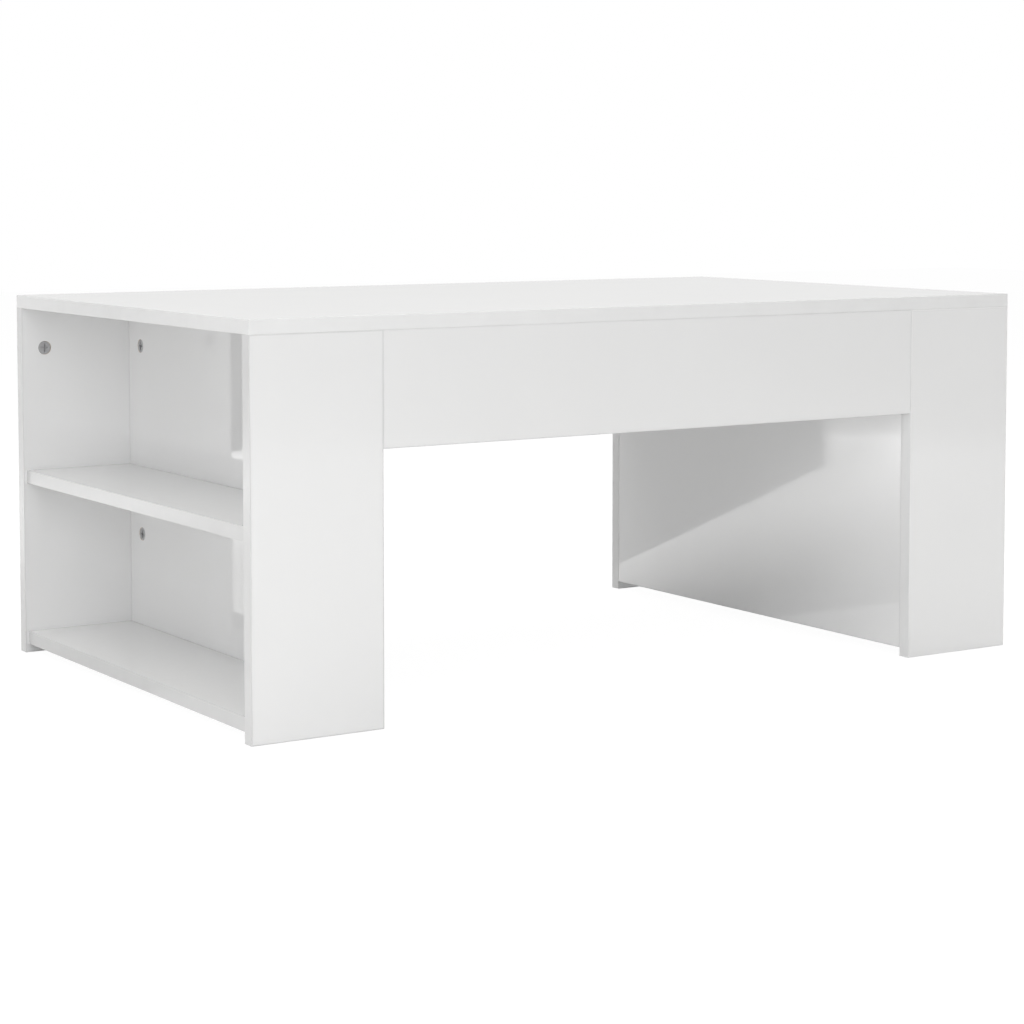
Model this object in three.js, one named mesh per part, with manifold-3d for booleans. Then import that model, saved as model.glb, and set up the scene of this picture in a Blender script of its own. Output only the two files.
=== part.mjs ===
// A white rectangular coffee table of flat boards: one top, four leg panels flush with its
// long sides, two inner partitions, two aprons and four shelves in bays open to the ends.
// Cam locks, their bolts and dowels hold the boards together.
// Millimetres, +X along the length, +Y to the back, +Z up, origin on the floor at the centre.
import * as THREE from 'three';
import { mergeVertices } from 'three/addons/utils/BufferGeometryUtils.js';
import Module from 'manifold-3d';

// Overall sizes and boards
const LENGTH = 1000;
const DEPTH = 600;
const HEIGHT = 420;
const BOARD = 15;
const LEG_WIDTH = 150;
const APRON_HEIGHT = 120;
const FLOOR_GAP = 10;
const MIDDLE_SHELF_UNDERSIDE = 200;
const SHELF_SETBACK = 4;

// Cam locks and their bolts
const CAM_DIAMETER = 15;
const CAM_FLOOR = 2.7;
const CAM_REACH = 33;
const CAM_SLOT_LENGTH = 10;
const CAM_SLOT_WIDTH = 1.8;
const CAM_SLOT_DEPTH = 2;
const TOP_CAM_DROP = 47;
const LOWER_CAM_HEIGHT = 134;
const LEG_CAM_FROM_END = 28;
const APRON_CAM_BELOW = 25;
const BOLT_DIAMETER = 6;
const BOLT_WAIST = 3.6;
const BOLT_HEAD_LENGTH = 4;
const BOLT_WAIST_LENGTH = 3.5;
const BOLT_THREAD = 10.5;
const BOLT_TIP = 1.5;
const CHANNEL_CLEARANCE = 0.8;

// Dowels
const DOWEL_DIAMETER = 8;
const DOWEL_IN_FACE = 10;
const DOWEL_IN_EDGE = 20;
const DOWEL_CHAMFER = 1;

// Running clearance round every cam, bolt and dowel
const FIT = 0.3;

const CAM_SIDES = 20;
const CHANNEL_SIDES = 12;
const BOLT_SIDES = 10;
const DOWEL_SIDES = 10;

// Planes that several boards share
const END = LENGTH / 2;
const SIDE = DEPTH / 2;
const LEG_FACE = SIDE - BOARD;
const UNDER_TOP = HEIGHT - BOARD;
const BAY_FACE = END - LEG_WIDTH + BOARD;
const MIDDLE_FACE = END - LEG_WIDTH;
const UPPER_CAM_HEIGHT = UNDER_TOP - TOP_CAM_DROP;
const CAM_DEPTH = BOARD - CAM_FLOOR;
const CHANNEL_WIDTH = BOLT_DIAMETER + 2 * CHANNEL_CLEARANCE;

const X = new THREE.Vector3(1, 0, 0);
const Y = new THREE.Vector3(0, 1, 0);
const Z = new THREE.Vector3(0, 0, 1);

const wasm = await Module();
wasm.setup();

function toSolid(geometry) {
  const bare = geometry.clone();
  bare.deleteAttribute('normal');
  bare.deleteAttribute('uv');
  const merged = mergeVertices(bare, 1e-4);
  return new wasm.Manifold(new wasm.Mesh({
    numProp: 3,
    vertProperties: new Float32Array(merged.attributes.position.array),
    triVerts: new Uint32Array(merged.index.array),
  }));
}

function toGeometry(solid) {
  const mesh = solid.getMesh();
  const geometry = new THREE.BufferGeometry();
  geometry.setAttribute('position', new THREE.BufferAttribute(mesh.vertProperties, 3));
  geometry.setIndex(new THREE.BufferAttribute(mesh.triVerts, 1));
  geometry.computeVertexNormals();
  return geometry;
}

function subtractAll(geometry, cutters) {
  let solid = toSolid(geometry);
  for (const cutter of cutters) {
    solid = solid.subtract(toSolid(cutter));
  }
  return toGeometry(solid);
}

// A round cutter whose axis runs from one point to another.
function roundCutter(from, to, diameter, sides) {
  const length = from.distanceTo(to);
  const geometry = new THREE.CylinderGeometry(diameter / 2, diameter / 2, length, sides);
  const along = to.clone().sub(from).normalize();
  geometry.applyQuaternion(new THREE.Quaternion().setFromUnitVectors(Y, along));
  const middle = from.clone().add(to).multiplyScalar(0.5);
  return geometry.translate(middle.x, middle.y, middle.z);
}

function boardMaterial() {
  return new THREE.MeshStandardMaterial({ color: 0xf1f1ee, roughness: 0.12, metalness: 0 });
}

function zincMaterial() {
  return new THREE.MeshStandardMaterial({ color: 0x9a9a98, roughness: 0.4, metalness: 0.9 });
}

function steelMaterial() {
  return new THREE.MeshStandardMaterial({ color: 0xb9b6ac, roughness: 0.35, metalness: 0.9 });
}

function beechMaterial() {
  return new THREE.MeshStandardMaterial({ color: 0xcaa676, roughness: 0.7, metalness: 0 });
}

const table = new THREE.Group();

function addMesh(name, geometry, material) {
  const mesh = new THREE.Mesh(geometry, material);
  mesh.name = name;
  table.add(mesh);
  return mesh;
}

// A board is held as its two corners and the holes still to be cut in it.
function makeBoard(name, low, high) {
  return { name, low: new THREE.Vector3(...low), high: new THREE.Vector3(...high), cuts: [] };
}

function addBoard(board) {
  const size = board.high.clone().sub(board.low);
  const centre = board.low.clone().add(board.high).multiplyScalar(0.5);
  const blank = new THREE.BoxGeometry(size.x, size.y, size.z);
  const cuts = board.cuts.map((cut) => cut.translate(-centre.x, -centre.y, -centre.z));
  const mesh = addMesh(board.name, subtractAll(blank, cuts), boardMaterial());
  mesh.position.copy(centre);
}

// Cam: its face looks along +Z at z = 0 and its bolt comes in along +X, half a board deep.
function camGeometry() {
  const height = CAM_DEPTH - FIT;
  const body = new THREE.CylinderGeometry(CAM_DIAMETER / 2, CAM_DIAMETER / 2, height, CAM_SIDES);
  body.rotateX(Math.PI / 2).translate(0, 0, -height / 2);
  const mouth = roundCutter(
    new THREE.Vector3(-BOLT_HEAD_LENGTH / 2, 0, -BOARD / 2),
    new THREE.Vector3(CAM_DIAMETER, 0, -BOARD / 2),
    CHANNEL_WIDTH,
    CHANNEL_SIDES,
  );
  const slots = [0, Math.PI / 2].map((turn) => {
    const slot = new THREE.BoxGeometry(CAM_SLOT_LENGTH, CAM_SLOT_WIDTH, CAM_SLOT_DEPTH * 2);
    return slot.rotateZ(turn + Math.PI / 4);
  });
  return subtractAll(body, [mouth, ...slots]);
}

// Bolt: the joint plane is at z = 0, the thread runs down and the head ends in the cam at +Z.
function boltGeometry(reach) {
  const shank = BOLT_DIAMETER / 2;
  const waist = BOLT_WAIST / 2;
  const headEnd = reach + BOLT_HEAD_LENGTH / 2 - FIT;
  const headStart = headEnd - BOLT_HEAD_LENGTH;
  const waistStart = headStart - BOLT_WAIST_LENGTH;
  const profile = [
    [0, -BOLT_THREAD],
    [shank / 2, -BOLT_THREAD],
    [shank, BOLT_TIP - BOLT_THREAD],
    [shank, waistStart],
    [waist, waistStart + shank - waist],
    [waist, headStart],
    [shank, headStart + shank - waist],
    [shank, headEnd - BOLT_TIP / 2],
    [shank / 2, headEnd],
    [0, headEnd],
  ];
  const points = profile.map(([radius, height]) => new THREE.Vector2(radius, height));
  return new THREE.LatheGeometry(points, BOLT_SIDES).rotateX(Math.PI / 2);
}

// Dowel: the joint plane is at z = 0 and the longer end is at +Z.
function dowelGeometry() {
  const radius = DOWEL_DIAMETER / 2;
  const profile = [
    [0, -DOWEL_IN_FACE],
    [radius - DOWEL_CHAMFER, -DOWEL_IN_FACE],
    [radius, DOWEL_CHAMFER - DOWEL_IN_FACE],
    [radius, DOWEL_IN_EDGE - DOWEL_CHAMFER],
    [radius - DOWEL_CHAMFER, DOWEL_IN_EDGE],
    [0, DOWEL_IN_EDGE],
  ];
  const points = profile.map(([r, height]) => new THREE.Vector2(r, height));
  return new THREE.LatheGeometry(points, DOWEL_SIDES).rotateX(Math.PI / 2);
}

function addCam(name, place, face, pull) {
  const mesh = addMesh(name, camGeometry(), zincMaterial());
  const across = face.clone().cross(pull);
  mesh.quaternion.setFromRotationMatrix(new THREE.Matrix4().makeBasis(pull, across, face));
  mesh.position.copy(place);
}

function addPin(name, geometry, material, joint, inward) {
  const mesh = addMesh(name, geometry, material);
  mesh.quaternion.setFromUnitVectors(Z, inward);
  mesh.position.copy(joint);
}

// Host holds the cam in a pocket; target takes the bolt's thread. The seat is the cam centre
// on the host's face, face points out of the pocket and pull points to the target.
function camJoint(name, host, target, seat, face, pull, reach) {
  const bottom = seat.clone().addScaledVector(face, -CAM_DEPTH);
  const above = seat.clone().addScaledVector(face, 1);
  host.cuts.push(roundCutter(bottom, above, CAM_DIAMETER + 2 * FIT, CAM_SIDES));
  const axis = seat.clone().addScaledVector(face, -BOARD / 2);
  const joint = axis.clone().addScaledVector(pull, reach);
  const outside = joint.clone().addScaledVector(pull, 1);
  host.cuts.push(roundCutter(axis, outside, CHANNEL_WIDTH, CHANNEL_SIDES));
  const mouth = joint.clone().addScaledVector(pull, -1);
  const deep = joint.clone().addScaledVector(pull, BOLT_THREAD + FIT);
  target.cuts.push(roundCutter(mouth, deep, BOLT_DIAMETER + 2 * FIT, CHANNEL_SIDES));
  addCam('cam_' + name, seat, face, pull);
  addPin('bolt_' + name, boltGeometry(reach), steelMaterial(), joint, pull.clone().negate());
}

// Plain is the board bored through its face, edge is the one bored in its end grain.
function dowelJoint(name, plain, edge, joint, inward) {
  const shallow = joint.clone().addScaledVector(inward, -DOWEL_IN_FACE - FIT);
  const deep = joint.clone().addScaledVector(inward, DOWEL_IN_EDGE + FIT);
  const before = joint.clone().addScaledVector(inward, -1);
  const after = joint.clone().addScaledVector(inward, 1);
  plain.cuts.push(roundCutter(shallow, after, DOWEL_DIAMETER + 2 * FIT, DOWEL_SIDES));
  edge.cuts.push(roundCutter(before, deep, DOWEL_DIAMETER + 2 * FIT, DOWEL_SIDES));
  addPin('dowel_' + name, dowelGeometry(), beechMaterial(), joint, inward);
}

// A board given as spans on one side of the centre plane, with sx or sy as -1 or 1.
function mirroredBoard(name, sx, sy, spanX, spanY, spanZ) {
  const x = [sx * spanX[0], sx * spanX[1]].sort((a, b) => a - b);
  const y = [sy * spanY[0], sy * spanY[1]].sort((a, b) => a - b);
  return makeBoard(name, [x[0], y[0], spanZ[0]], [x[1], y[1], spanZ[1]]);
}

const top = makeBoard('top_panel', [-END, -SIDE, UNDER_TOP], [END, SIDE, HEIGHT]);
const boards = [top];

const aprons = {};
for (const [row, sy] of [['front', -1], ['back', 1]]) {
  const apron = mirroredBoard(
    'apron_' + row,
    1,
    sy,
    [-MIDDLE_FACE, MIDDLE_FACE],
    [LEG_FACE, SIDE],
    [UNDER_TOP - APRON_HEIGHT, UNDER_TOP],
  );
  aprons[row] = apron;
  boards.push(apron);
  const joint = new THREE.Vector3(0, sy * (SIDE - BOARD / 2), UNDER_TOP);
  dowelJoint(apron.name, top, apron, joint, Z.clone().negate());
}

for (const [side, sx] of [['left', -1], ['right', 1]]) {
  const outward = X.clone().multiplyScalar(sx);
  const partition = mirroredBoard(
    'partition_' + side,
    sx,
    1,
    [MIDDLE_FACE, BAY_FACE],
    [-LEG_FACE, LEG_FACE],
    [FLOOR_GAP, UNDER_TOP],
  );
  boards.push(partition);

  const legs = {};
  for (const [row, sy] of [['front', -1], ['back', 1]]) {
    const label = row + '_' + side;
    const toLeg = Y.clone().multiplyScalar(sy);
    const inward = toLeg.clone().negate();
    const leg = mirroredBoard(
      'leg_' + label,
      sx,
      sy,
      [MIDDLE_FACE, END],
      [LEG_FACE, SIDE],
      [0, UNDER_TOP],
    );
    legs[row] = leg;
    boards.push(leg);

    const legSeat = new THREE.Vector3(
      sx * (END - LEG_CAM_FROM_END),
      sy * LEG_FACE,
      UPPER_CAM_HEIGHT,
    );
    camJoint('top_' + label, leg, top, legSeat, inward, Z, TOP_CAM_DROP);

    for (const [level, height] of [['upper', UPPER_CAM_HEIGHT], ['lower', LOWER_CAM_HEIGHT]]) {
      const seat = new THREE.Vector3(sx * BAY_FACE, sy * (LEG_FACE - CAM_REACH), height);
      camJoint(level + '_' + label, partition, leg, seat, outward, toLeg, CAM_REACH);
    }

    const apronSeat = new THREE.Vector3(
      sx * (MIDDLE_FACE - CAM_REACH),
      sy * LEG_FACE,
      UPPER_CAM_HEIGHT - APRON_CAM_BELOW,
    );
    camJoint('apron_' + label, aprons[row], leg, apronSeat, inward, outward, CAM_REACH);
  }

  for (const [level, under] of [['bottom', FLOOR_GAP], ['middle', MIDDLE_SHELF_UNDERSIDE]]) {
    const outer = END - SHELF_SETBACK;
    const shelf = mirroredBoard(
      'shelf_' + level + '_' + side,
      sx,
      1,
      [BAY_FACE, outer],
      [-LEG_FACE, LEG_FACE],
      [under, under + BOARD],
    );
    boards.push(shelf);
    const height = under + BOARD / 2;
    for (const [row, sy] of [['front', -1], ['back', 1]]) {
      const joint = new THREE.Vector3(sx * (BAY_FACE + outer) / 2, sy * LEG_FACE, height);
      const label = level + '_' + row + '_' + side;
      dowelJoint(label, legs[row], shelf, joint, Y.clone().multiplyScalar(-sy));
    }
    const inner = new THREE.Vector3(sx * BAY_FACE, 0, height);
    dowelJoint(level + '_inner_' + side, partition, shelf, inner, outward);
  }
}

for (const board of boards) {
  addBoard(board);
}

export default table;
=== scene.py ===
import math

import bpy
import numpy as np
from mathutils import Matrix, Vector
from mathutils.geometry import tessellate_polygon


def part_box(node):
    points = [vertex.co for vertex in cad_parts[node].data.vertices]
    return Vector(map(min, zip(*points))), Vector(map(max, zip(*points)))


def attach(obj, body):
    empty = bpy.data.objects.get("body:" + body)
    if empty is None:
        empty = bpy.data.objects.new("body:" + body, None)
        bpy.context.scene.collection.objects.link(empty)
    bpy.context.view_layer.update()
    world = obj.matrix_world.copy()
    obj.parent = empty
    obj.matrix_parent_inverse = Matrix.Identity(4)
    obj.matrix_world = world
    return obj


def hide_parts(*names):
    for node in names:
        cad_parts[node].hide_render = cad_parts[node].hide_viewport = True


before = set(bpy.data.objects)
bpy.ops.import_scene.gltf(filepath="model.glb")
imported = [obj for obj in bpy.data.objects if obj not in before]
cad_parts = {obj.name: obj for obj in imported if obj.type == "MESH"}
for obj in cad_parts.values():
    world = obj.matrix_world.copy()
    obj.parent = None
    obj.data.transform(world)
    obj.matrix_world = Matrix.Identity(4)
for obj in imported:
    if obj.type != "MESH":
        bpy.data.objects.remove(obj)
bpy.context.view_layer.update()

# Camera: a long lens at seated eye height, to the left of the front, turned only slightly
# down and shifted down the rest of the way so that the boards' upright edges stay upright.
camera = bpy.data.objects.new("camera", bpy.data.cameras.new("camera"))
bpy.context.scene.collection.objects.link(camera)
camera.data.sensor_width = 36.0
camera.data.lens = 88.96
camera.data.shift_y = -0.16
camera.data.clip_end = 60.0
camera.location = (-1.6075, -2.5007, 0.5599)
yaw = math.radians(32.665)
camera.rotation_euler = (math.radians(90 - 3.915), 0, -yaw)
bpy.context.scene.camera = camera


# Partitions: two upright boards between the legs that close the inner side of each end's
# shelf bays. Chipboard 15 mm thick with a high-gloss white foil on both faces and a 1 mm
# white band glued round the edges, eased by milling; cam locks pull them to the legs.
EASE = 0.0003
BAND = 0.0010
JOINT_HALF = 0.00015
JOINT_DEEP = 0.00004
CORNER_STEPS = 6
FITTINGS = [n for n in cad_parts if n.split("_")[0] in ("cam", "bolt", "dowel")]
FITTING_GAP = 0.0003
LEAST_BITE = 0.0020
CAM_DEEPEST = 0.0130
CAM_FLUSH = 0.0002
PIN_PAST_FACE = 0.0010
CHANNEL_SLACK = 0.0005
CHANNEL_STOP = 0.0006


def bites(low, high, box_low, box_high):
    """Whether a fitting, by its two corners, reaches well into a board's box."""
    return ((high - box_low) > LEAST_BITE).all() and ((box_high - low) > LEAST_BITE).all()


def fitting_holes(board):
    """Holes that a board needs for its fittings, each as (axis, side, centre, radius, depth).
    A fitting that crosses a face of the board, or lies flush with it, gets a round blind hole
    there: its own radius plus the gap, and as deep as it reaches. A bolt's channel stops at
    the pocket of its cam."""
    low, high = (np.array(c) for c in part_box(board))
    holes = []
    for node in FITTINGS:
        a, b = (np.array(c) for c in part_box(node))
        if not bites(a, b, low, high):
            continue
        kind, label = node.split("_", 1)
        for axis in range(3):
            others = [k for k in range(3) if k != axis]
            if kind == "cam" and (b - a)[axis] > CAM_DEEPEST:
                continue
            for side, plane, near, far in ((-1, low[axis], a[axis], b[axis]),
                                           (1, high[axis], b[axis], a[axis])):
                if (near - plane) * side < (-CAM_FLUSH if kind == "cam" else PIN_PAST_FACE):
                    continue
                depth = (plane - far) * side + FITTING_GAP
                radius = max((b - a)[others]) / 2 + FITTING_GAP
                if kind == "bolt":
                    c, d = (np.array(e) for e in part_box("cam_" + label))
                    if bites(c, d, low, high):
                        depth = (plane - (d if side > 0 else c)[axis]) * side - CHANNEL_STOP
                        radius += CHANNEL_SLACK
                holes.append((axis, side, ((a + b) / 2)[others], radius, depth))
    return holes


def welded(points, faces, marks):
    """Grid faces with coincident points made one. Quads that keep four corners stay quads,
    those with two neighbouring corners in one place become triangles, and the rest go."""
    _, first, same = np.unique(np.round(points, 7), axis=0, return_index=True,
                               return_inverse=True)
    faces = same.reshape(-1)[faces]
    equal = faces == np.roll(faces, -1, axis=1)
    whole = ~equal.any(axis=1)
    bent = equal.sum(axis=1) == 1
    keep = ~equal[bent]
    triangles = faces[bent][keep].reshape(-1, 3)
    made = faces[whole].tolist() + triangles.tolist()
    return points[first], made, np.concatenate([marks[whole], marks[bent]])


WIDE_HOLE = 0.0060
WIDE_STEPS = 56
NARROW_STEPS = 24
NO_AREA = 1e-14
FOIL_FACE, BAND_FACE, ROUNDED, HOLE_WALL, HOLE_FLOOR = range(5)


def holed_face(outline, holes, axis, side):
    """A flat rectangle less its round holes, cut into triangles that face outwards, then for
    each hole a wall of quads down to a floor that is a fan about the hole's centre. A rim is
    the centre plus the radius times the cosine and sine of the turn."""
    across, along = [k for k in range(3) if k != axis]
    loops, places = [outline], [np.arange(4)]
    points, faces, marks, rims = [outline], [], [], []
    start = 4
    for _, _, centre, radius, depth in holes:
        steps = WIDE_STEPS if radius > WIDE_HOLE else NARROW_STEPS
        turn = np.linspace(0, 2 * np.pi, steps, endpoint=False)
        rim = np.zeros((steps, 3))
        rim[:, axis] = outline[0, axis]
        rim[:, across] = centre[0] + radius * np.cos(turn)
        rim[:, along] = centre[1] + radius * np.sin(turn)
        floor = rim.copy()
        floor[:, axis] -= side * depth
        i = np.arange(steps)
        j = (i + 1) % steps
        hub = np.full(steps, start + 2 * steps)
        loops.append(rim)
        places.append(start + i)
        points += [rim, floor, floor.mean(axis=0)[None]]
        faces += [np.stack([start + i, start + steps + i, start + steps + j, start + j], 1),
                  np.stack([start + steps + i, hub, hub, start + steps + j], 1)]
        marks += [np.full(steps, HOLE_WALL), np.full(steps, HOLE_FLOOR)]
        rims.append((start, steps, centre))
        start += 2 * steps + 1
    flat = np.array(tessellate_polygon([[Vector(p) for p in loop] for loop in loops]))
    flat = np.concatenate(places)[flat]
    flat = np.concatenate([flat, flat[:, 2:]], axis=1)
    points = np.concatenate(points)
    faces = np.concatenate([flat] + faces)
    marks = np.concatenate([np.full(len(flat), FOIL_FACE)] + marks)
    corner = points[faces]
    edge = corner[:, 1] - corner[:, 0]
    normal = np.cross(edge, corner[:, 3] - corner[:, 0])
    small = np.abs(normal).sum(axis=1) < NO_AREA
    normal[small] = np.cross(edge, corner[:, 2] - corner[:, 0])[small]
    turned = (normal[:, axis] * side < 0) & (marks != HOLE_WALL)
    middle = corner.mean(axis=1)
    for first, steps, centre in rims:
        wall = (marks == HOLE_WALL) & (faces[:, 0] >= first) & (faces[:, 0] < first + steps)
        away = (middle[:, across] - centre[0]) * normal[:, across]
        away += (middle[:, along] - centre[1]) * normal[:, along]
        turned |= wall & (away > 0)
    faces[turned] = faces[turned][:, ::-1]
    return points, faces, marks


def board_surface(low, high, holes):
    """A board with eased edges: a profile carried round the board's rounded outline. The
    profile climbs from the lower face over a hairline joint between foil and band, round the
    lower edge (radius times the cosine and sine of the latitude), up the band, and back over
    the upper face. The outline is the nearest corner of the core rectangle plus that radius
    along the longitude, with a quarter turn at each corner."""
    size = high - low
    thin = int(np.argmin(size))
    across, along = (thin + 1) % 3, (thin + 2) % 3
    half = size / 2
    top = half[thin]
    joint = BAND - EASE
    groove = [(joint, 0, top), (joint + JOINT_HALF, 0, top - JOINT_DEEP),
              (joint + 2 * JOINT_HALF, 0, top)]
    latitude = np.linspace(0, np.pi / 2, CORNER_STEPS)
    round_over = np.stack([0 * latitude, EASE * np.cos(latitude),
                           top - EASE + EASE * np.sin(latitude)], 1)
    upper = np.concatenate([round_over, np.array(groove)])
    profile = np.concatenate([upper[::-1] * (1, 1, -1), upper])
    quarter = np.repeat(np.arange(4), CORNER_STEPS)
    longitude = (quarter + np.tile(np.linspace(0, 1, CORNER_STEPS), 4)) * np.pi / 2
    corner_a = np.array([1, -1, -1, 1])[quarter]
    corner_b = np.array([1, 1, -1, -1])[quarter]
    rows, columns = len(profile), len(longitude)
    inset, radial, height = (profile[:, k][:, None] for k in range(3))
    grid = np.zeros((rows, columns, 3))
    grid[:, :, across] = corner_a * (half[across] - EASE - inset) + radial * np.cos(longitude)
    grid[:, :, along] = corner_b * (half[along] - EASE - inset) + radial * np.sin(longitude)
    grid[:, :, thin] = height
    grid += (low + high) / 2
    r, c = np.meshgrid(np.arange(rows - 1), np.arange(columns), indexing="ij")
    n = (c + 1) % columns
    quads = np.stack([r * columns + c, r * columns + n, (r + 1) * columns + n,
                      (r + 1) * columns + c], -1).reshape(-1, 4)
    middle_row = rows // 2 - 1
    last_step = CORNER_STEPS - 1
    rounded = quads[~((r == middle_row) & (c % CORNER_STEPS == last_step)).reshape(-1)]
    parts = [(grid.reshape(-1, 3), rounded, np.full(len(rounded), ROUNDED))]
    ends = CORNER_STEPS * np.arange(4) + last_step
    caps = [(thin, 1, grid[-1, ends]), (thin, -1, grid[0, ends])]
    for end, (axis, side) in zip(ends, [(along, 1), (across, -1), (along, -1), (across, 1)]):
        a, b = end, (end + 1) % columns
        caps.append((axis, side, grid[[middle_row, middle_row, middle_row + 1,
                                       middle_row + 1], [a, b, b, a]]))
    for axis, side, outline in caps:
        mine = [h for h in holes if h[0] == axis and h[1] == side]
        p, f, m = holed_face(outline, mine, axis, side)
        parts.append((p, f, np.where((m == FOIL_FACE) & (axis != thin), BAND_FACE, m)))
    start = np.cumsum([0] + [len(p) for p, _, _ in parts])
    points = np.concatenate([p for p, _, _ in parts])
    faces = np.concatenate([f + s for (_, f, _), s in zip(parts, start)])
    return welded(points, faces, np.concatenate([m for _, _, m in parts]))


def put_in(name, points, faces, slots, smooth, materials):
    """A finished piece: its mesh is put in whole, with a material slot and a smooth or flat
    shade for each face, and it rides the table's one body."""
    mesh = bpy.data.meshes.new(name)
    mesh.from_pydata(points.tolist(), [], faces)
    mesh.polygons.foreach_set("material_index", np.asarray(slots, np.int32))
    mesh.polygons.foreach_set("use_smooth", np.asarray(smooth, bool))
    for material in materials:
        mesh.materials.append(material)
    mesh.update()
    piece = bpy.data.objects.new(name, mesh)
    bpy.context.scene.collection.objects.link(piece)
    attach(piece, "root")
    return piece


def shader(name):
    """A material with its Principled shader, and short ways to add a node and join two. A
    value goes to the input of its name, or else sets the node's own property."""
    material = bpy.data.materials.new(name)
    material.use_nodes = True
    tree = material.node_tree
    base = tree.nodes["Principled BSDF"]

    def add(kind, **values):
        node = tree.nodes.new(kind)
        for key, value in values.items():
            if key in node.inputs:
                node.inputs[key].default_value = value
            else:
                setattr(node, key.lower(), value)
        return node

    return material, base, add, tree.links.new


def gloss_foil(name, tone):
    """High-gloss white foil: a faint cloudiness in the white, roughness that drifts as on
    wiped lacquer, and two very low waves, the orange peel of the foil and the chips beneath."""
    material, base, add, join = shader(name)
    place = add("ShaderNodeTexCoord")
    cloud = add("ShaderNodeTexNoise", Scale=4.0, Detail=3.0, Roughness=0.55)
    specks = add("ShaderNodeTexNoise", Scale=900.0, Detail=1.0)
    blend = add("ShaderNodeMath", operation="MULTIPLY_ADD")
    blend.inputs[1].default_value = 0.2
    tint = add("ShaderNodeValToRGB")
    tint.color_ramp.elements[0].position = 0.35
    tint.color_ramp.elements[0].color = (*np.multiply(tone, 0.975), 1)
    tint.color_ramp.elements[1].position = 0.85
    tint.color_ramp.elements[1].color = (*tone, 1)
    join(place.outputs["Object"], cloud.inputs["Vector"])
    join(place.outputs["Object"], specks.inputs["Vector"])
    join(specks.outputs["Fac"], blend.inputs[0])
    join(cloud.outputs["Fac"], blend.inputs[2])
    join(blend.outputs[0], tint.inputs["Fac"])
    join(tint.outputs["Color"], base.inputs["Base Color"])
    wipe = add("ShaderNodeTexNoise", Scale=9.0, Detail=6.0, Roughness=0.7, Distortion=0.6)
    gloss = add("ShaderNodeMapRange")
    gloss.inputs["From Min"].default_value = 0.3
    gloss.inputs["From Max"].default_value = 0.7
    gloss.inputs["To Min"].default_value = 0.025
    gloss.inputs["To Max"].default_value = 0.055
    join(place.outputs["Object"], wipe.inputs["Vector"])
    join(wipe.outputs["Fac"], gloss.inputs["Value"])
    join(gloss.outputs["Result"], base.inputs["Roughness"])
    peel = add("ShaderNodeTexNoise", Scale=260.0, Detail=2.0)
    chips = add("ShaderNodeTexNoise", Scale=70.0, Detail=2.0)
    waves = add("ShaderNodeMath", operation="MULTIPLY_ADD")
    waves.inputs[1].default_value = 0.5
    bump = add("ShaderNodeBump", Strength=0.05, Distance=0.0005)
    join(place.outputs["Object"], peel.inputs["Vector"])
    join(place.outputs["Object"], chips.inputs["Vector"])
    join(peel.outputs["Fac"], waves.inputs[0])
    join(chips.outputs["Fac"], waves.inputs[2])
    join(waves.outputs[0], bump.inputs["Height"])
    join(bump.outputs["Normal"], base.inputs["Normal"])
    base.inputs["IOR"].default_value = 1.9
    return material


def edge_band(name, tone):
    """White plastic edge band: a shade duller than the foil, with the fine cross chatter of
    the edge cutter and small changes of sheen where the adhesive pulled it in."""
    material, base, add, join = shader(name)
    place = add("ShaderNodeTexCoord")
    mottle = add("ShaderNodeTexNoise", Scale=35.0, Detail=4.0, Roughness=0.6)
    tint = add("ShaderNodeValToRGB")
    tint.color_ramp.elements[0].position = 0.3
    tint.color_ramp.elements[0].color = (*np.multiply(tone, 0.97), 1)
    tint.color_ramp.elements[1].position = 0.75
    tint.color_ramp.elements[1].color = (*tone, 1)
    sheen = add("ShaderNodeMapRange")
    sheen.inputs["To Min"].default_value = 0.12
    sheen.inputs["To Max"].default_value = 0.22
    chatter = add("ShaderNodeTexNoise", Scale=500.0, Detail=1.0)
    bump = add("ShaderNodeBump", Strength=0.08, Distance=0.0003)
    join(place.outputs["Object"], mottle.inputs["Vector"])
    join(place.outputs["Object"], chatter.inputs["Vector"])
    join(mottle.outputs["Fac"], tint.inputs["Fac"])
    join(tint.outputs["Color"], base.inputs["Base Color"])
    join(mottle.outputs["Fac"], sheen.inputs["Value"])
    join(sheen.outputs["Result"], base.inputs["Roughness"])
    join(chatter.outputs["Fac"], bump.inputs["Height"])
    join(bump.outputs["Normal"], base.inputs["Normal"])
    base.inputs["IOR"].default_value = 1.38
    return material


def raw_chipboard(name):
    """Bored chipboard: pressed chips as stretched cells from straw to brown, with open pores."""
    material, base, add, join = shader(name)
    place = add("ShaderNodeTexCoord")
    squash = add("ShaderNodeMapping")
    squash.inputs["Scale"].default_value = (1.0, 0.45, 1.6)
    chips = add("ShaderNodeTexVoronoi", Scale=420.0)
    dust = add("ShaderNodeTexNoise", Scale=1500.0, Detail=3.0)
    tint = add("ShaderNodeValToRGB")
    tint.color_ramp.elements[0].color = (0.30, 0.19, 0.10, 1)
    tint.color_ramp.elements[1].color = (0.66, 0.50, 0.31, 1)
    bump = add("ShaderNodeBump", Strength=0.5, Distance=0.0004)
    join(place.outputs["Object"], squash.inputs["Vector"])
    join(squash.outputs["Vector"], chips.inputs["Vector"])
    join(place.outputs["Object"], dust.inputs["Vector"])
    join(chips.outputs["Color"], tint.inputs["Fac"])
    join(tint.outputs["Color"], base.inputs["Base Color"])
    join(dust.outputs["Fac"], bump.inputs["Height"])
    join(bump.outputs["Normal"], base.inputs["Normal"])
    base.inputs["Roughness"].default_value = 0.85
    return material


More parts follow.
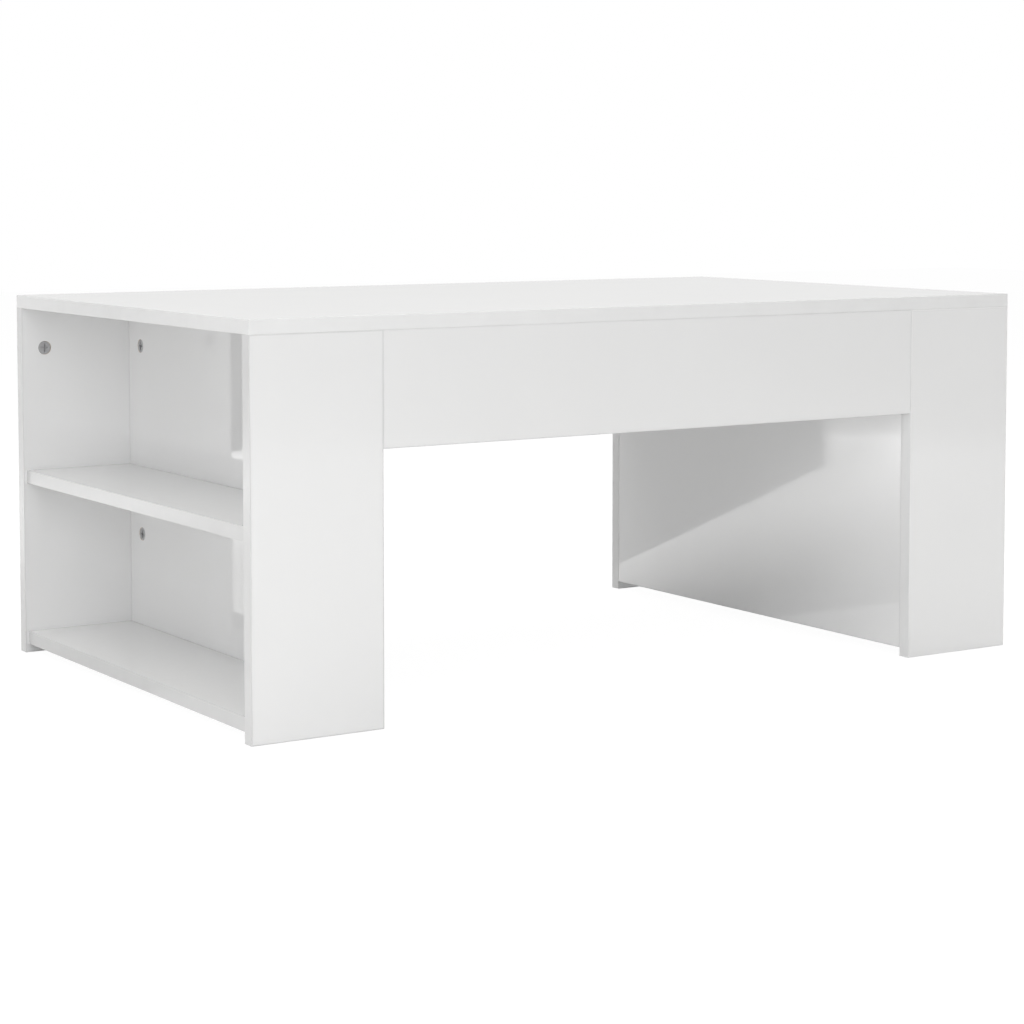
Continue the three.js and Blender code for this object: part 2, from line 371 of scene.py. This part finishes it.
FOIL = gloss_foil("white_gloss_foil", (0.86, 0.86, 0.86))
BANDING = edge_band("white_edge_band", (0.80, 0.80, 0.803))
CHIPBOARD = raw_chipboard("raw_chipboard")


def make_board(node, band=BANDING):
    """A whole board in place of its plain one: foil on its broad faces, band round its edges
    and raw chipboard in its holes."""
    low, high = (np.array(c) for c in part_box(node))
    points, faces, marks = board_surface(low, high, fitting_holes(node))
    slots = np.array([0, 1, 1, 2, 2])[marks]
    smooth = np.isin(marks, (ROUNDED, HOLE_WALL))
    piece = put_in(node + "_board", points, faces, slots, smooth,
                   (FOIL, band, CHIPBOARD))
    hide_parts(node)


make_board("partition_left")
make_board("partition_right")


# Leg panels: four boards 150 mm wide that stand on the floor, two flush with each long side
# of the top. Same foiled chipboard; cam locks hold them to the partitions and the top. The
# band on the left pair is a darker copy, painted shade, and on the right pair a whiter copy,
# painted light; the real band is one white.
# Painted light and shade: the left legs get a darker copy of the band and the right legs a
# whiter copy.
LEFT_BANDING_PAINTED_SHADE = edge_band("left_leg_band_painted_shade", (0.75, 0.75, 0.75))
RIGHT_BANDING_PAINTED_LIGHT = edge_band("right_leg_band_painted_light", (0.89, 0.89, 0.89))
for node, band in (("leg_front_left", LEFT_BANDING_PAINTED_SHADE), ("leg_back_left", LEFT_BANDING_PAINTED_SHADE),
                   ("leg_front_right", RIGHT_BANDING_PAINTED_LIGHT), ("leg_back_right", RIGHT_BANDING_PAINTED_LIGHT)):
    make_board(node, band)


# Aprons: a board under each long side of the top, flush with the outer faces of the legs.
# Same foiled chipboard; a cam lock at each end pulls it to the leg.
make_board("apron_front")
make_board("apron_back")


# Shelves: two in each end, open to the end and set back a little from the legs' edges. Same
# foiled chipboard, with a darker copy of the band that paints shade on the shelves' edges;
# they hang on dowels in the legs and in the partition.
# Painted shade: a darker copy of the band for the shelves' edges.
SHELF_BANDING_PAINTED_SHADE = edge_band("shelf_band_painted_shade", (0.71, 0.71, 0.71))
for node in ("shelf_bottom_left", "shelf_middle_left", "shelf_bottom_right",
             "shelf_middle_right"):
    make_board(node, SHELF_BANDING_PAINTED_SHADE)


# Top: one board over everything, flush with the legs on all sides. Same foiled chipboard
# with a whiter copy of the band that paints light on its edges; four cam locks in the legs
# pull it down.
# Painted light: a whiter copy of the band for the top's edges.
TOP_BANDING_PAINTED_LIGHT = edge_band("top_band_painted_light", (0.89, 0.89, 0.89))
make_board("top_panel", TOP_BANDING_PAINTED_LIGHT)


# Cam locks: die-cast zinc discs sunk flush in round pockets, with a cross slot for the
# driver and an open mouth in the side that grips the head of the bolt.
CAM_RADIUS = 0.0075
CAM_CHAMFER = 0.0004
CAM_STEPS = 64
BOLT_AXIS_DEPTH = 0.0075
MOUTH_HALF = 0.0038
MOUTH_STEPS = 6
MOUTH_BACK = -0.0022
SLOT_HALF = 0.0008
SLOT_REACH = 0.0048
ARM_REACH = 0.0034
SLOT_DEEP = 0.0022
ARROW_POINT = -0.0062
ARROW_BASE = -0.0052
ARROW_HALF = 0.0007
ARROW_DEEP = 0.0003


def sunk(outline, depth):
    """A recess with a flat outline: a wall of quads down to a floor that is a fan about the
    middle of the outline."""
    count = len(outline)
    i = np.arange(count)
    j = (i + 1) % count
    rim = np.concatenate([outline, np.zeros((count, 1))], 1)
    floor = rim - (0, 0, depth)
    hub = np.full(count, 2 * count)
    wall = np.stack([j, count + j, count + i, i], 1)
    fan = np.stack([count + i, count + j, hub, hub], 1)
    return (np.concatenate([rim, floor, floor.mean(axis=0)[None]]),
            np.concatenate([wall, fan]), np.zeros(2 * count, int))


def cam_surface(height, slot_along_bolt):
    """A cam with its face up at height zero: a profile of radius and height turned about the
    upright axis, a cross-shaped recess in its face, and a mouth in its side whose rim, on the
    turned wall, is carried straight in to a flat back."""
    turn = np.linspace(0, 2 * np.pi, CAM_STEPS, endpoint=False)
    levels = np.array([[CAM_RADIUS - CAM_CHAMFER, 0], [CAM_RADIUS, -CAM_CHAMFER],
                       [CAM_RADIUS, MOUTH_HALF - BOLT_AXIS_DEPTH],
                       [CAM_RADIUS, -MOUTH_HALF - BOLT_AXIS_DEPTH],
                       [CAM_RADIUS, CAM_CHAMFER - height],
                       [CAM_RADIUS - CAM_CHAMFER, -height], [0, -height]])
    grid = np.stack([levels[:, :1] * np.cos(turn), levels[:, :1] * np.sin(turn),
                     levels[:, 1:] + 0 * turn], -1)
    r, c = np.meshgrid(np.arange(len(levels) - 1), np.arange(CAM_STEPS), indexing="ij")
    n = (c + 1) % CAM_STEPS
    quads = np.stack([r * CAM_STEPS + c, (r + 1) * CAM_STEPS + c, (r + 1) * CAM_STEPS + n,
                      r * CAM_STEPS + n], -1).reshape(-1, 4)
    mouth = (r == 2) & ((c < MOUTH_STEPS) | (c >= CAM_STEPS - MOUTH_STEPS))
    wall = quads[~mouth.reshape(-1)]
    parts = [(grid.reshape(-1, 3), wall, np.ones(len(wall), int))]
    rim = np.arange(-MOUTH_STEPS, MOUTH_STEPS + 1)
    loop = np.concatenate([grid[2, rim], grid[3, rim][::-1]])
    back = loop.copy()
    back[:, 0] = MOUTH_BACK
    count = len(loop)
    i = np.arange(count)
    j = (i + 1) % count
    hub = np.full(count, 2 * count)
    tunnel = np.stack([count + i, count + j, j, i], 1)
    fan = np.stack([hub, hub, count + j, count + i], 1)
    parts.append((np.concatenate([loop, back, back.mean(axis=0)[None]]),
                  np.concatenate([tunnel, fan]), np.zeros(2 * count, int)))
    w, e, f = SLOT_HALF, SLOT_REACH, ARM_REACH
    if slot_along_bolt:
        e, f = f, e
    cross = np.array([[w, w], [w, e], [-w, e], [-w, w], [-f, w], [-f, -w], [-w, -w],
                      [-w, -e], [w, -e], [w, -w], [f, -w], [f, w]])
    arrow = np.array([[ARROW_BASE, -ARROW_HALF], [ARROW_BASE, ARROW_HALF], [ARROW_POINT, 0]])
    parts += [sunk(cross, SLOT_DEEP), sunk(arrow, ARROW_DEEP)]
    loops = [grid[0], parts[-2][0][:len(cross)], parts[-1][0][:len(arrow)]]
    flat = np.array(tessellate_polygon([[Vector(p) for p in loop] for loop in loops]))
    face = np.concatenate(loops)
    corner = face[flat]
    down = np.cross(corner[:, 1] - corner[:, 0], corner[:, 2] - corner[:, 0])[:, 2] < 0
    flat[down] = flat[down][:, ::-1]
    parts.append((face, np.concatenate([flat, flat[:, 2:]], 1), np.zeros(len(flat), int)))
    start = np.cumsum([0] + [len(p) for p, _, _ in parts])
    points = np.concatenate([p for p, _, _ in parts])
    faces = np.concatenate([f + s for (_, f, _), s in zip(parts, start)])
    return welded(points, faces, np.concatenate([m for _, _, m in parts]))


def cast_zinc(name):
    """Cast zinc, tumbled: mid grey with darker patches and a fine pitted, satin surface."""
    material, base, add, join = shader(name)
    place = add("ShaderNodeTexCoord")
    patches = add("ShaderNodeTexNoise", Scale=450.0, Detail=4.0, Roughness=0.6)
    pits = add("ShaderNodeTexNoise", Scale=2600.0, Detail=2.0)
    tint = add("ShaderNodeValToRGB")
    tint.color_ramp.elements[0].position = 0.3
    tint.color_ramp.elements[0].color = (0.36, 0.36, 0.37, 1)
    tint.color_ramp.elements[1].position = 0.7
    tint.color_ramp.elements[1].color = (0.54, 0.54, 0.55, 1)
    sheen = add("ShaderNodeMapRange")
    sheen.inputs["To Min"].default_value = 0.38
    sheen.inputs["To Max"].default_value = 0.6
    bump = add("ShaderNodeBump", Strength=0.35, Distance=0.0001)
    join(place.outputs["Object"], patches.inputs["Vector"])
    join(place.outputs["Object"], pits.inputs["Vector"])
    join(patches.outputs["Fac"], tint.inputs["Fac"])
    join(tint.outputs["Color"], base.inputs["Base Color"])
    join(patches.outputs["Fac"], sheen.inputs["Value"])
    join(sheen.outputs["Result"], base.inputs["Roughness"])
    join(pits.outputs["Fac"], bump.inputs["Height"])
    join(bump.outputs["Normal"], base.inputs["Normal"])
    base.inputs["Metallic"].default_value = 0.7
    return material


ZINC = cast_zinc("cast_zinc")


def cam_place(node):
    """Middle of a cam's face, the way that the face looks, the way that the bolt leaves, and
    the cam's height."""
    low, high = (np.array(c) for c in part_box(node))
    a, b = (np.array(c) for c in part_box(node.replace("cam_", "bolt_")))
    centre = (low + high) / 2
    thin = int(np.argmin(high - low))
    height = (high - low)[thin]
    face, pull = np.zeros(3), np.zeros(3)
    face[thin] = np.sign(centre[0]) if thin == 0 else -np.sign(centre[1])
    reach = (a + b) / 2 - centre
    longest = int(np.argmax(np.abs(reach)))
    pull[longest] = np.sign(reach[longest])
    return centre + face * height / 2, face, pull, height


for node in FITTINGS:
    if node.startswith("cam_"):
        seat, face, pull, height = cam_place(node)
        points, faces, marks = cam_surface(height, pull[2] != 0)
        turned = points @ np.stack([pull, np.cross(face, pull), face]) + seat
        piece = put_in(node + "_casting", turned, faces, 0 * marks, marks == 1,
                       (ZINC,))
        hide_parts(node)


# Bolts: plated steel pins, turned and thread-rolled, that screw into one board. Their heads
# sit behind a thin waist inside the cam of the next board. Nothing of them shows once the
# table stands.
BOLT_THREAD = 0.0105
BOLT_POINT = 0.0015
BOLT_HEAD = 0.0040
BOLT_WAIST_LENGTH = 0.0035
BOLT_WAIST_SHARE = 0.6
THREAD_PITCH = 0.0015
THREAD_DEPTH = 0.0005
THREAD_ROWS = 49
BOLT_STEPS = 24


def pin_surface(heights, radii, steps, relief):
    """A pin turned about its axis: a profile of height and radius carried round in even
    steps, less a relief that depends on the height and the turn. The profile starts and ends
    on the axis, so both ends close on a pole."""
    turn = np.linspace(0, 2 * np.pi, steps, endpoint=False)
    height = heights[:, None] + 0 * turn
    radius = np.maximum(radii[:, None] - relief(height, turn), 0)
    grid = np.stack([radius * np.cos(turn), radius * np.sin(turn), height], -1)
    r, c = np.meshgrid(np.arange(len(heights) - 1), np.arange(steps), indexing="ij")
    n = (c + 1) % steps
    quads = np.stack([r * steps + c, r * steps + n, (r + 1) * steps + n,
                      (r + 1) * steps + c], -1).reshape(-1, 4)
    return welded(grid.reshape(-1, 3), quads, np.zeros(len(quads), int))


def pin_place(node, head_towards):
    """The lower end of a pin's axis, the three directions that its own axes take, its length
    and its radius. The pin points to the side where the other place lies."""
    low, high = (np.array(c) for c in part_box(node))
    along = int(np.argmax(high - low))
    centre = (low + high) / 2
    up = np.zeros(3)
    up[along] = np.sign(head_towards[along] - centre[along])
    side = np.roll(np.abs(up), 1)
    length = (high - low)[along]
    turned = np.stack([side, np.cross(up, side), up])
    return centre - up * length / 2, turned, length, np.delete(high - low, along).max() / 2


def plated_steel(name):
    """Yellow-white plated steel, fine turned rings and a soft metallic sheen."""
    material, base, add, join = shader(name)
    place = add("ShaderNodeTexCoord")
    rings = add("ShaderNodeTexNoise", Scale=1200.0, Detail=2.0)
    tint = add("ShaderNodeValToRGB")
    tint.color_ramp.elements[0].color = (0.48, 0.46, 0.40, 1)
    tint.color_ramp.elements[1].color = (0.68, 0.66, 0.60, 1)
    bump = add("ShaderNodeBump", Strength=0.3, Distance=0.0001)
    join(place.outputs["Object"], rings.inputs["Vector"])
    join(rings.outputs["Fac"], tint.inputs["Fac"])
    join(tint.outputs["Color"], base.inputs["Base Color"])
    join(rings.outputs["Fac"], bump.inputs["Height"])
    join(bump.outputs["Normal"], base.inputs["Normal"])
    base.inputs["Metallic"].default_value = 1.0
    base.inputs["Roughness"].default_value = 0.35
    return material


def thread(height, turn):
    """A rolled thread: a triangle wave that climbs one pitch in each turn, faded in from the
    point and out again before the plain shank."""
    wave = np.abs((height / THREAD_PITCH - turn / (2 * np.pi)) % 1 * 2 - 1)
    fade = np.clip(np.minimum(height - BOLT_POINT, BOLT_THREAD - height) / THREAD_PITCH, 0, 1)
    return THREAD_DEPTH * wave * fade


PLATED = plated_steel("plated_steel")
for node in FITTINGS:
    if node.startswith("bolt_"):
        cam_low, cam_high = (np.array(c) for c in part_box(node.replace("bolt_", "cam_")))
        foot, turned, length, radius = pin_place(node, (cam_low + cam_high) / 2)
        head = length - BOLT_HEAD
        waist = head - BOLT_WAIST_LENGTH
        thin = radius * BOLT_WAIST_SHARE
        cone = radius - thin
        threaded = np.linspace(BOLT_POINT, BOLT_THREAD, THREAD_ROWS)
        heights = np.concatenate([[0, 0], threaded, [waist, waist + cone, head, head + cone,
                                                     length - BOLT_POINT / 2, length, length]])
        radii = np.concatenate([[0, radius / 2], 0 * threaded + radius,
                                [radius, thin, thin, radius, radius, radius / 2, 0]])
        points, faces, marks = pin_surface(heights, radii, BOLT_STEPS, thread)
        piece = put_in(node + "_pin", points @ turned + foot, faces, marks, marks == 1,
                       (PLATED,))
        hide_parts(node)


# Dowels: turned beech with pressed flutes that let the glue run, glued half in one board and
# half in the next.
DOWEL_CHAMFER = 0.0010
FLUTES = 18
FLUTE_DEPTH = 0.0003
STEPS_IN_FLUTE = 4
FAR_CORNER = np.full(3, 9.0)


def beech(name):
    """Beech: short dark flecks stretched along the grain over a pinkish straw ground."""
    material, base, add, join = shader(name)
    place = add("ShaderNodeTexCoord")
    grain = add("ShaderNodeTexNoise", Scale=320.0, Detail=5.0, Roughness=0.65)
    tint = add("ShaderNodeValToRGB")
    tint.color_ramp.elements[0].color = (0.42, 0.26, 0.13, 1)
    tint.color_ramp.elements[1].color = (0.72, 0.52, 0.31, 1)
    bump = add("ShaderNodeBump", Strength=0.3, Distance=0.0002)
    join(place.outputs["Object"], grain.inputs["Vector"])
    join(grain.outputs["Fac"], tint.inputs["Fac"])
    join(tint.outputs["Color"], base.inputs["Base Color"])
    join(grain.outputs["Fac"], bump.inputs["Height"])
    join(bump.outputs["Normal"], base.inputs["Normal"])
    base.inputs["Roughness"].default_value = 0.6
    return material


def flutes(height, turn):
    """Straight flutes: a cosine round the dowel, the same at every height."""
    return FLUTE_DEPTH * (1 - np.cos(FLUTES * turn)) / 2 + 0 * height


BEECH = beech("beech")
for node in FITTINGS:
    if node.startswith("dowel_"):
        foot, turned, length, radius = pin_place(node, FAR_CORNER)
        end = radius - DOWEL_CHAMFER
        heights = np.array([0, 0, DOWEL_CHAMFER, length - DOWEL_CHAMFER, length, length])
        radii = np.array([0, end, radius, radius, end, 0])
        points, faces, marks = pin_surface(heights, radii, STEPS_IN_FLUTE * FLUTES, flutes)
        piece = put_in(node + "_pin", points @ turned + foot, faces, marks, marks == 1,
                       (BEECH,))
        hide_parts(node)


# Studio: a white floor and an even white surround, lit softly from above and from the front
# left. Low cards stand behind the table, for the gloss of its faces to mirror.
def flat_card(name, corners, faces, strength, diffuse, seen_by):
    """A flat card, or a few joined ones: a list of corners and the faces between them. It
    glows evenly and is there for one kind of ray: the camera's own, the gloss's or light's."""
    mesh = bpy.data.meshes.new(name)
    mesh.from_pydata([tuple(c) for c in corners], [], faces)
    card = bpy.data.objects.new(name, mesh)
    bpy.context.scene.collection.objects.link(card)
    material, base, _, _ = shader(name)
    base.inputs["Base Color"].default_value = (diffuse, diffuse, diffuse, 1)
    base.inputs["Roughness"].default_value = 0.9
    base.inputs["Specular IOR Level"].default_value = 0.0
    base.inputs["Emission Color"].default_value = (1, 1, 1, 1)
    base.inputs["Emission Strength"].default_value = strength
    mesh.materials.append(material)
    card.visible_camera = seen_by == "camera"
    card.visible_glossy = seen_by == "gloss"
    card.visible_diffuse = seen_by == "light"
    card.visible_transmission = False
    card.visible_shadow = seen_by == "light"
    return material.node_tree


FLOOR_EDGE = 12


def floor_at(depth, front=-FLOOR_EDGE, back=FLOOR_EDGE):
    """Corners of a level floor, a little below the feet of the legs."""
    return [(-FLOOR_EDGE, front, depth), (FLOOR_EDGE, front, depth),
            (FLOOR_EDGE, back, depth), (-FLOOR_EDGE, back, depth)]


ONE_FACE = [(0, 1, 2, 3)]
flat_card("floor_seen", floor_at(-0.0005), ONE_FACE, 0.96, 0.1, "camera")
flat_card("floor_lit", floor_at(-0.0007), ONE_FACE, 0.0, 0.6, "light")
flat_card("floor_mirrored_front", floor_at(-0.0003, back=0), ONE_FACE, 0.7, 0.88, "gloss")
shade = flat_card("floor_mirrored_back", floor_at(-0.0003, front=0), ONE_FACE, 1.0, 0.88,
                  "gloss")

# The floor behind lies in brighter light towards the foot of the backdrop: what the gloss
# mirrors of it rises in brightness with the distance from the table's middle, straight away
# from the camera. The standing cards are placed from a mark on the floor near the camera.
ahead = np.array([math.sin(yaw), math.cos(yaw), 0])
right = np.array([math.cos(yaw), -math.sin(yaw), 0])
floor_mark = np.array([-1.6432, -2.5614, 0])
spot = shade.nodes.new("ShaderNodeTexCoord")
reach = shade.nodes.new("ShaderNodeVectorMath")
reach.operation = "DOT_PRODUCT"
reach.inputs[1].default_value = ahead
lighten = shade.nodes.new("ShaderNodeMapRange")
lighten.interpolation_type = "SMOOTHSTEP"
lighten.inputs["From Min"].default_value = 0.22
lighten.inputs["From Max"].default_value = 0.55
lighten.inputs["To Min"].default_value = 0.34
lighten.inputs["To Max"].default_value = 1.4
shade.links.new(spot.outputs["Object"], reach.inputs[0])
shade.links.new(reach.outputs["Value"], lighten.inputs["Value"])
shade.links.new(lighten.outputs["Result"],
                shade.nodes["Principled BSDF"].inputs["Emission Strength"])

WALL = 9.0
ROOM = [(x, y, z) for z in (-0.01, WALL) for x, y in ((-WALL, -WALL), (WALL, -WALL),
                                                      (WALL, WALL), (-WALL, WALL))]
ROOM_SIDES = [(0, 1, 5, 4), (1, 2, 6, 5), (2, 3, 7, 6), (3, 0, 4, 7), (4, 5, 6, 7)]
flat_card("sky_mirrored", ROOM, ROOM_SIDES, 0.79, 0.0, "gloss")
flat_card("sky_seen", ROOM, ROOM_SIDES, 1.0, 0.0, "camera")


def standing_card(name, left_foot, right_foot, height, strength):
    """An upright card; each end of its foot is given as its distance ahead of the mark and
    its offset to the right."""
    left, right_end = (floor_mark + ahead * d + right * r for d, r in (left_foot, right_foot))
    corners = [left, right_end, right_end + (0, 0, height), left + (0, 0, height)]
    flat_card(name, corners, ONE_FACE, strength, 0.0, "gloss")


standing_card("backdrop", (3.664, -1.39), (3.335, 2.6), 0.32, 1.2)
standing_card("left_screen", (4.05, -5.0), (4.05, -2.1), 0.42, 0.1)

world = bpy.data.worlds.new("surround")
bpy.context.scene.world = world
world.use_nodes = True
world.node_tree.nodes["Background"].inputs["Color"].default_value = (1.0, 1.0, 1.0, 1)
world.node_tree.nodes["Background"].inputs["Strength"].default_value = 0.3


def soft_light(name, place, aim, size, power, colour=(1, 1, 1)):
    """A rectangular soft box at one place that looks at another."""
    lamp = bpy.data.lights.new(name, "AREA")
    lamp.shape = "RECTANGLE"
    lamp.size, lamp.size_y = size
    lamp.energy = power
    lamp.color = colour
    light = bpy.data.objects.new(name, lamp)
    bpy.context.scene.collection.objects.link(light)
    light.location = place
    light.rotation_euler = (Vector(aim) - Vector(place)).to_track_quat("-Z", "Y").to_euler()
    light.visible_glossy = False


WARM_WHITE = (1.0, 0.992, 0.965)
COOL_WHITE = (0.990, 0.995, 1.0)
soft_light("overhead", (0, 0, 3.0), (0, 0, 0.3), (5.0, 5.0), 103, WARM_WHITE)
soft_light("key", (-1.6, -1.8, 1.2), (0, 0, 0.2), (1.6, 1.6), 17.4, COOL_WHITE)
soft_light("side", (-2.2, -0.8, 0.3), (0.35, -0.25, 0.15), (0.7, 0.5), 5.6)
soft_light("fill", (1.6, -2.2, 1.0), (0.2, 0, 0.2), (1.6, 1.4), 7.2, COOL_WHITE)
soft_light("behind", (-1.2, 1.8, 0.25), (0.35, 0, 0.15), (1.0, 0.35), 3.4)
soft_light("right_end", (2.4, 0.9, 0.9), (0.4, 0, 0.2), (1.0, 1.0), 7.0)

bpy.context.scene.view_settings.view_transform = "Standard"
